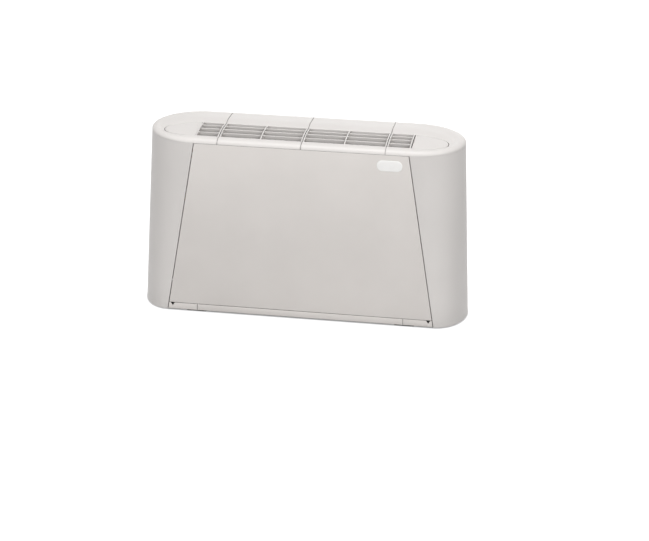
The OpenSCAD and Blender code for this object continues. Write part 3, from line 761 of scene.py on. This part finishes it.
for node in ("front_panel", "left_strip_end", "right_strip_end"):
    refined(node, SHEET_EDGE)
refined("filter_front", SHEET_EDGE, "filter_drawer")
for node in ("speed_knob", "thermostat_knob"):
    refined(node, BROKEN_EDGE, node)


# Top pieces

def arc(cx, cy, radius, start, end, count):
    """Points of an arc in plan; angles in degrees."""
    return [(cx + radius * math.cos(math.radians(start + (end - start) * n / count)),
             cy + radius * math.sin(math.radians(start + (end - start) * n / count)))
            for n in range(count + 1)]


def spread(points, count):
    """The same line with its points evenly spaced."""
    lengths = [0.0]
    for a, b in zip(points, points[1:]):
        lengths.append(lengths[-1] + math.dist(a, b))
    even = []
    k = 0
    for n in range(count + 1):
        goal = lengths[-1] * n / count
        while k < len(points) - 2 and lengths[k + 1] < goal:
            k += 1
        share = (goal - lengths[k]) / (lengths[k + 1] - lengths[k])
        even.append(tuple(p + (q - p) * share for p, q in zip(points[k], points[k + 1])))
    return even


STRAIGHT = 6
ROUND = 96


def rim_line(start):
    """Plan of the rim's end, from the front seam round to the back one."""
    middle = TOP_HALF - TOP_ROUND
    bow = [(middle + TOP_ROUND * math.cos(math.radians(a)), HALF_DEPTH * math.sin(math.radians(a)))
           for a in range(-90, 91)]
    front = [(start + (middle - start) * n / STRAIGHT, -HALF_DEPTH) for n in range(STRAIGHT)]
    rear = [(x, -y) for x, y in reversed(front)]
    return front + spread(bow, ROUND) + rear


def outlet_line(start, grow):
    """Plan of the outlet's tapered end, grown outwards, with as many points as the rim's."""
    half = OUTLET_DEPTH / 2
    run = TIP - NOSE
    flank = (run * run + half * half - NOSE * NOSE) / (OUTLET_DEPTH - 2 * NOSE)
    bend = math.degrees(math.atan2(flank - half, run))
    low = arc(GRILLE_HALF, OUTLET_Y + flank - half, flank + grow, -90, -bend, 60)
    tip = arc(GRILLE_HALF + run, OUTLET_Y, NOSE + grow, -bend, bend, 60)
    high = [(x, 2 * OUTLET_Y - y) for x, y in reversed(low)]
    front = [(start + (GRILLE_HALF - start) * n / STRAIGHT, OUTLET_Y - half - grow)
             for n in range(STRAIGHT)]
    rear = [(x, 2 * OUTLET_Y - y) for x, y in reversed(front)]
    return front + spread(low + tip[1:] + high[1:], ROUND) + rear


def at(line, z):
    """A line in plan at one height."""
    return [(x, y, z) for x, y in line]


def blended(a, b, share):
    """Line that lies a share of the way from one line to another."""
    return [tuple(p + (q - p) * share for p, q in zip(m, n)) for m, n in zip(a, b)]


def toward(a, b, length):
    """Point a length away from a, on the way to b."""
    share = length / math.dist(a, b)
    return tuple(p + (q - p) * share for p, q in zip(a, b))


def lip_sink(x, y):
    """How far the edge of the outlet lies under the rim's plane: it comes down to the flap round the tip."""
    if x <= GRILLE_HALF:
        return 0.0
    share = min((x - GRILLE_HALF) / SINK_RUN, 1)
    return share * max(rim_top(y) - flap_top(x, y) - SINK_CLEAR, 0)


def pillow(share):
    """Soft swell between the rim's crest and the outlet, fullest close to the outlet."""
    return math.sin(math.pi * share ** PILLOW_LEAN)


def top_rings(start):
    """Rings of the rim from its lower edge over the round top and down the wall of the outlet."""
    outer = rim_line(start)
    edge = outlet_line(start, LIP_ROUND)
    spans = [math.dist(a, b) for a, b in zip(outer, edge)]
    crest = [toward(a, b, min(ROLL_IN, span - ROLL_FLAT)) for a, b, span in zip(outer, edge, spans)]
    sunk = [lip_sink(x, y) for x, y in edge]
    rings = [at(outer, PANEL_TOP)]
    for a in range(0, 91, 9):
        turn = math.radians(a)
        line = blended(outer, crest, 1 - math.cos(turn))
        rings.append([(x, y, rim_top(y) + ROLL_DOWN * (math.sin(turn) - 1) - low * (1 - math.cos(turn)) ** 2)
                      for (x, y), low in zip(line, sunk)])
    for share in (0.2, 0.4, 0.6, 0.8):
        line = blended(crest, edge, share)
        rise = [PILLOW * min(max(span - ROLL_IN, 0) / PILLOW_SPAN, 1) * pillow(share) for span in spans]
        rings.append([(x, y, rim_top(y) + up - low) for (x, y), up, low in zip(line, rise, sunk)])
    for a in range(0, 91, 15):
        turn = math.radians(a)
        line = outlet_line(start, LIP_ROUND * (1 - math.sin(turn)))
        rings.append([(x, y, rim_top(y) + LIP_ROUND * (math.cos(turn) - 1) - low)
                      for (x, y), low in zip(line, sunk)])
    rings.append(at(outlet_line(start, 0), RIM_Z - LIP_H))
    return rings


def rail_rings(x0, x1):
    """Straight rims in front of and behind the louvres, each a row of points along the section."""
    ends = top_rings(x0)
    front = [[ring[0] for ring in ends], [(x1, *ring[0][1:]) for ring in ends]]
    rear = [[ring[-1] for ring in ends], [(x1, *ring[-1][1:]) for ring in ends]]
    return front, rear


def seam_strip(section, side, middle, lap):
    """Tongue of a rail under a seam, from the seam's middle to its lap. Side is 1 in front, -1 behind."""
    line = [(y, z) for _, y, z in section[1:]]

    def drawn_in(depth):
        inner = []
        for n, (y, z) in enumerate(line):
            before = line[max(n - 1, 0)]
            after = line[min(n + 1, len(line) - 1)]
            share = side * depth / math.dist(before, after)
            inner.append((y + (after[1] - before[1]) * share, z - (after[0] - before[0]) * share))
        return inner

    ring = drawn_in(STRIP_IN) + drawn_in(STRIP_IN + STRIP_T)[::-1]
    return sealed(skin([[(x, y, z) for y, z in ring] for x in (middle, lap)], closed=True))


def facing_up(mesh):
    """Turns every face of a rim skin to the outside, by the skin's own top."""
    work = bmesh.new()
    work.from_mesh(mesh)
    bmesh.ops.recalc_face_normals(work, faces=work.faces)
    for island in islands(work):
        top = max(island, key=lambda face: (round(face.normal.z ** 2, 3), face.calc_center_median().z))
        if top.normal.z < 0:
            bmesh.ops.reverse_faces(work, faces=island)
    work.to_mesh(mesh)
    work.free()
    return mesh


def islands(work):
    """Faces of a mesh in groups that hang together."""
    left = set(work.faces)
    groups = []
    while left:
        todo = [left.pop()]
        group = list(todo)
        while todo:
            for edge in todo.pop().edges:
                for face in edge.link_faces:
                    if face in left:
                        left.remove(face)
                        todo.append(face)
                        group.append(face)
        groups.append(group)
    return groups


def louvres(x0, x1, ribs):
    """Blades and ribs of the outlet between two places along the width."""
    first = OUTLET_FRONT + BLADE_PITCH - BLADE_T / 2
    return louvre.run(
        Blade_length=(x1 - x0) * MM, Blade_count=BLADES, Blade_pitch=BLADE_PITCH * MM,
        First_blade=first * MM, Blade_thickness=BLADE_T * MM, Blade_height=BLADE_H * MM,
        Blade_lean=math.radians(BLADE_LEAN), Blade_drop=BLADE_DROP * MM, Crown_radius=CROWN_R * MM,
        Crown_middle=CROWN_Y * MM, Crown_centre_height=CROWN_Z * MM, Start=x0 * MM, Rib_count=ribs,
        Rib_pitch=(x1 - x0 - RIB_T) / (ribs - 1) * MM, Rib_thickness=RIB_T * MM, Rib_depth=RIB_H * MM,
        Rib_span=OUTLET_DEPTH * MM, Rib_middle=OUTLET_Y * MM, Finish=finishes["top_plastic"])


def right_grille():
    """Middle top piece: louvres between a front and a back rail, with tongues under both seams."""
    x0 = GAP / 2
    x1 = MODULE - GAP / 2
    parts = [louvres(x0, x1, 3)]
    for side, rows in zip((1, -1), rail_rings(x0, x1)):
        parts.append(walled(facing_up(skin(rows)), LIP))
        parts.append(seam_strip(rows[0], side, STRIP_CLEAR, x0 + STRIP_LAP))
        parts.append(seam_strip(rows[1], side, MODULE - STRIP_CLEAR, x1 - STRIP_LAP))
    return joined(*parts)


def right_top_end():
    """Rounded top end: the rim round the tapered outlet, the last bay of louvres and the seam's tongues."""
    x0 = MODULE + GAP / 2
    rings = top_rings(x0)
    rim = walled(facing_up(skin(rings)), LIP)
    strips = [seam_strip([ring[n] for ring in rings], side, MODULE + STRIP_CLEAR, x0 + STRIP_LAP)
              for side, n in ((1, 0), (-1, -1))]
    return joined(rim, louvres(x0, GRILLE_HALF, 2), *strips)


for part, maker in (("grille", right_grille), ("top_end", right_top_end)):
    mesh = maker()
    shade(mesh)
    mesh.materials.append(finishes["top_plastic"])
    new_piece("right_" + part + "_dressed", mesh, "cabinet", "top_plastic", "right_" + part)
    new_piece("left_" + part + "_dressed", mirrored(mesh), "cabinet", "top_plastic", "left_" + part)


# Flaps over the tapered ends

CLEAR_OF_RIB = 40
SPINE_IN = 12
SPINE_SHORT = 42
FLAP_EDGE = 0.9


def right_flap():
    """Flap with a soft dome that fades to the hinge, rounded edges, and the knuckle along its hinge."""
    def outline(inset):
        bow = outlet_line(GRILLE_HALF, -FLAP_GAP - inset)[STRAIGHT:-STRAIGHT]
        line = [(max(x, HINGE_X + inset), y) for x, y in bow]
        ends = spread([line[-1], line[0]], 12)
        return line + ends[1:-1]

    rings = [[(x, y, flap_top(x, y) - drop) for x, y in outline(inset)]
             for inset, drop in ((0.6, FLAP_T), (0, FLAP_T - 0.6), (0, FLAP_EDGE), (0.3, 0.3),
                                 (FLAP_EDGE, 0))]
    edge = outline(FLAP_EDGE)
    spine = [(min(max(x, HINGE_X + SPINE_IN), HINGE_X + TIP - SPINE_SHORT), OUTLET_Y) for x, y in edge]
    for share in (0.08, 0.2, 0.35, 0.5, 0.65, 0.8, 0.9):
        dome = FLAP_DOME * (1 - (1 - share) ** 2)
        rings.append([(x, y, flap_top(x, y) + dome * min(1, (x - HINGE_X) / CLEAR_OF_RIB))
                      for x, y in blended(edge, spine, share)])
    plate = sealed(skin(rings, closed=True))
    half = OUTLET_DEPTH / 2 - 2 * FLAP_GAP
    knuckle = sealed(skin([[(HINGE_X + x, OUTLET_Y + y, AXIS_Z + y * FLAP_LEAN + z)
                            for x, z in arc(0, 0, FLAP_T, 0, 345, 23)] for y in (-half, half)], closed=True))
    return joined(plate, knuckle)


flap = right_flap()
flap.materials.append(finishes["top_plastic"])
new_piece("right_flap_dressed", flap, "right_flap", "top_plastic", "right_flap")
new_piece("left_flap_dressed", mirrored(flap), "left_flap", "top_plastic", "left_flap")


# Filter net and coil fins, finer than their solids

THREAD_PITCH = 3
THREAD_T = 0.9
FIN_PITCH = 2.5
FIN_T = 0.25


def outermost(node):
    """A solid's points that lie furthest to each side, low one first, for X, Y and Z."""
    points = [point.co.copy() for point in frame["nodes"][node].data.vertices]
    return [(min(points, key=lambda p: p[axis]), max(points, key=lambda p: p[axis])) for axis in range(3)]


def net():
    """Net over the whole of the filter's solid."""
    (left, right), (front, back), (low, high) = outermost("filter_mesh")
    middle = ((left.x + right.x) / 2, (front.y + back.y) / 2, (low.z + high.z) / 2)
    return filter_net.run(Net_width=right.x - left.x, Net_depth=back.y - front.y,
                          Thread_pitch=THREAD_PITCH * MM, Thread_thickness=THREAD_T * MM,
                          Net_middle=middle, Finish=finishes["filter_cloth"])


def fins():
    """Close fins in the box of the coil's solid fins, with the same lean."""
    (left, right), (front, back), (low, high) = outermost("coil_fins")
    edge = back.yz - low.yz
    rise = high.yz - back.yz
    middle = ((left.x + right.x) / 2, (front.y + back.y) / 2, (low.z + high.z) / 2)
    return fin_pack.run(Pack_length=right.x - left.x, Fin_pitch=FIN_PITCH * MM, Fin_thickness=FIN_T * MM,
                        Fin_width=edge.length, Fin_height=rise.length,
                        Fin_lean=math.atan2(edge.y, edge.x), Pack_middle=middle,
                        Finish=finishes["aluminium"])


cloth = net()
shade(cloth)
new_piece("filter_net", cloth, "filter_drawer", "filter_cloth", "filter_mesh")
new_piece("coil_fin_pack", fins(), "cabinet", "aluminium", "coil_fins")


# Bare plate on the front panel

PLATE_X = 223.7
PLATE_Z = 425.7
PLATE_STRAIGHT = 36.3
PLATE_TALL = 28


def blank_plate():
    """Blank pill-shaped plate with a soft dome."""
    rings = []
    for drop, out in ((0.0, 0.0), (0.0, 0.8), (0.5, 1.15), (1.6, 1.4), (4.0, 1.55), (9.0, 1.65)):
        radius = PLATE_TALL / 2 - drop
        half = PLATE_STRAIGHT / 2
        line = arc(half, 0, radius, -90, 90, 24) + arc(-half, 0, radius, 90, 270, 24)
        rings.append([(PLATE_X + x, -HALF_DEPTH - out, PLATE_Z + z) for x, z in line])
    mesh = sealed(skin(rings, closed=True))
    mesh.materials.append(plate_lacquer())
    return mesh


def plate_lacquer():
    """Clear lacquer over white, whiter than the panel."""
    coat = Finish("plate_lacquer", specular=0.5)
    drift = coat.noise(60, 3)
    coat.colour(coat.ramp(drift, (0.3, srgb(251, 250, 248)), (0.7, srgb(254, 253, 251))))
    coat.roughness(coat.range(coat.noise(800, 2), 0.2, 0.3))
    return coat.material


new_piece("blank_plate", blank_plate(), "cabinet", "top_plastic")


# Stage, light and camera

FLOOR_GREY = (0.38, 0.38, 0.38, 1)
FLOOR_GLOW = 0.9
FLOOR_HALF = 30


def seen_white(graph):
    """1 for what the eye, a mirror or glass sees, 0 for light that falls on the object."""
    path = graph.add("ShaderNodeLightPath").outputs
    passed_on = graph.math("MAXIMUM", path["Is Glossy Ray"], path["Is Transmission Ray"])
    return graph.math("MAXIMUM", path["Is Camera Ray"], passed_on)


def stage():
    """Pale floor that shows white round the object; under the object's footprint its glow is left out, a
    painted shadow over the floor's own shade.
    """
    floor = bpy.data.meshes.new("floor")
    work = bmesh.new()
    bmesh.ops.create_grid(work, x_segments=1, y_segments=1, size=FLOOR_HALF)
    work.to_mesh(floor)
    work.free()
    plane = bpy.data.objects.new("floor", floor)
    bpy.context.scene.collection.objects.link(plane)
    paper = bpy.data.materials.new("floor_paper")
    paper.use_nodes = True
    graph = Graph(paper.node_tree)
    shader = paper.node_tree.nodes["Principled BSDF"]
    shader.inputs["Base Color"].default_value = FLOOR_GREY
    shader.inputs["Roughness"].default_value = 0.9
    shader.inputs["Specular IOR Level"].default_value = 0.0
    seen = seen_white(graph)
    place = graph.add("ShaderNodeSeparateXYZ", {
        "Vector": graph.add("ShaderNodeTexCoord").outputs["Object"]}).outputs
    past = graph.math("SUBTRACT", graph.math("ABSOLUTE", place[0]), (BASE_HALF - BASE_ROUND) * MM)
    beside = graph.math("DIVIDE", graph.math("MAXIMUM", past, 0.0), BASE_ROUND * MM)
    ahead = graph.math("DIVIDE", place[1], HALF_DEPTH * MM)
    far = graph.math("SQRT", graph.math("ADD", graph.math("MULTIPLY", beside, beside),
                                        graph.math("MULTIPLY", ahead, ahead)))
    # 0 under the object's footprint and 1 round it: the glow missing there is a painted shadow.
    clear = graph.add("ShaderNodeMapRange", {"Value": far, "From Min": 0.9, "From Max": 1.05}).outputs[0]
    shader.inputs["Emission Color"].default_value = (1, 1, 1, 1)
    glow = graph.math("MULTIPLY", graph.math("MULTIPLY", seen, clear), FLOOR_GLOW)
    graph.feed(shader.inputs["Emission Strength"], glow)
    floor.materials.append(paper)


EVEN_SKY = 0.03
FRONT_SKY = 0.92


def world():
    """White to the eye; as light, an even part and a part from the front."""
    sky = bpy.data.worlds.new("studio")
    sky.use_nodes = True
    bpy.context.scene.world = sky
    graph = Graph(sky.node_tree)
    back = sky.node_tree.nodes["Background"]
    back.inputs["Color"].default_value = (1, 1, 1, 1)
    seen = seen_white(graph)
    way = graph.add("ShaderNodeSeparateXYZ", {
        "Vector": graph.add("ShaderNodeTexCoord").outputs["Generated"]}).outputs
    ahead = graph.math("MAXIMUM", graph.math("MULTIPLY", way[1], -1.0), 0.0)
    front = graph.math("MULTIPLY", ahead, FRONT_SKY)
    soft = graph.math("ADD", front, EVEN_SKY)
    level = graph.add("ShaderNodeMapRange", {"Value": seen, "To Min": soft, "To Max": 1.0}).outputs[0]
    graph.feed(back.inputs["Strength"], level)


def lamp(name, place, aim, size, power):
    """Soft square lamp, in metres and watts."""
    light = bpy.data.lights.new(name, "AREA")
    light.shape = "RECTANGLE"
    light.size, light.size_y = size
    light.energy = power
    holder = bpy.data.objects.new(name, light)
    holder.location = place
    holder.rotation_euler = (Vector(aim) - Vector(place)).to_track_quat("-Z", "Y").to_euler()
    bpy.context.scene.collection.objects.link(holder)


def sun(name, origin, power, soft):
    """Far lamp that shines from a direction, with an edge as soft as its width in degrees."""
    light = bpy.data.lights.new(name, "SUN")
    light.energy = power
    light.angle = math.radians(soft)
    holder = bpy.data.objects.new(name, light)
    holder.rotation_euler = Vector(origin).to_track_quat("Z", "Y").to_euler()
    bpy.context.scene.collection.objects.link(holder)


PICTURE_WIDTH = 649
SENSOR = 36
FOCAL_PIXELS = 2200
SHIFT_PIXELS = (16.5, -50.5)
CAMERA_TURN = (9.52, 19.99, 0.5)
CAMERA_AIM = (0.00225, 0, 0.22954)
CAMERA_AWAY = 5.6399


def camera():
    """Camera of the photograph: turned to the right, looking down, long lens."""
    yaw, pitch, roll = (math.radians(a) for a in CAMERA_TURN)
    ahead = Vector((-math.sin(yaw) * math.cos(pitch), math.cos(yaw) * math.cos(pitch), -math.sin(pitch)))
    level = Vector((math.cos(yaw), math.sin(yaw), 0))
    upright = level.cross(ahead)
    right = math.cos(roll) * level + math.sin(roll) * upright
    up = math.cos(roll) * upright - math.sin(roll) * level
    lens = bpy.data.cameras.new("camera")
    lens.sensor_width = SENSOR
    lens.lens = SENSOR * FOCAL_PIXELS / PICTURE_WIDTH
    lens.shift_x, lens.shift_y = (shift / PICTURE_WIDTH for shift in SHIFT_PIXELS)
    lens.clip_end = 100
    holder = bpy.data.objects.new("camera", lens)
    turn = Matrix((right, up, -ahead)).transposed().to_4x4()
    holder.matrix_world = Matrix.Translation(Vector(CAMERA_AIM) - CAMERA_AWAY * ahead) @ turn
    bpy.context.scene.collection.objects.link(holder)
    bpy.context.scene.camera = holder


MID_HEIGHT = (0, 0, 0.25)
stage()
world()
sun("key", (-0.04, 0.05, 1.0), 1.75, 12)
lamp("left", (-2.9, -4.6, 2.6), MID_HEIGHT, (2.0, 2.0), 60)
lamp("right", (3.9, -3.8, 2.6), MID_HEIGHT, (2.0, 2.0), 92)
lamp("back", (0.0, 2.8, 1.0), MID_HEIGHT, (2.0, 1.4), 10)
camera()
bpy.context.scene.view_settings.view_transform = "Standard"
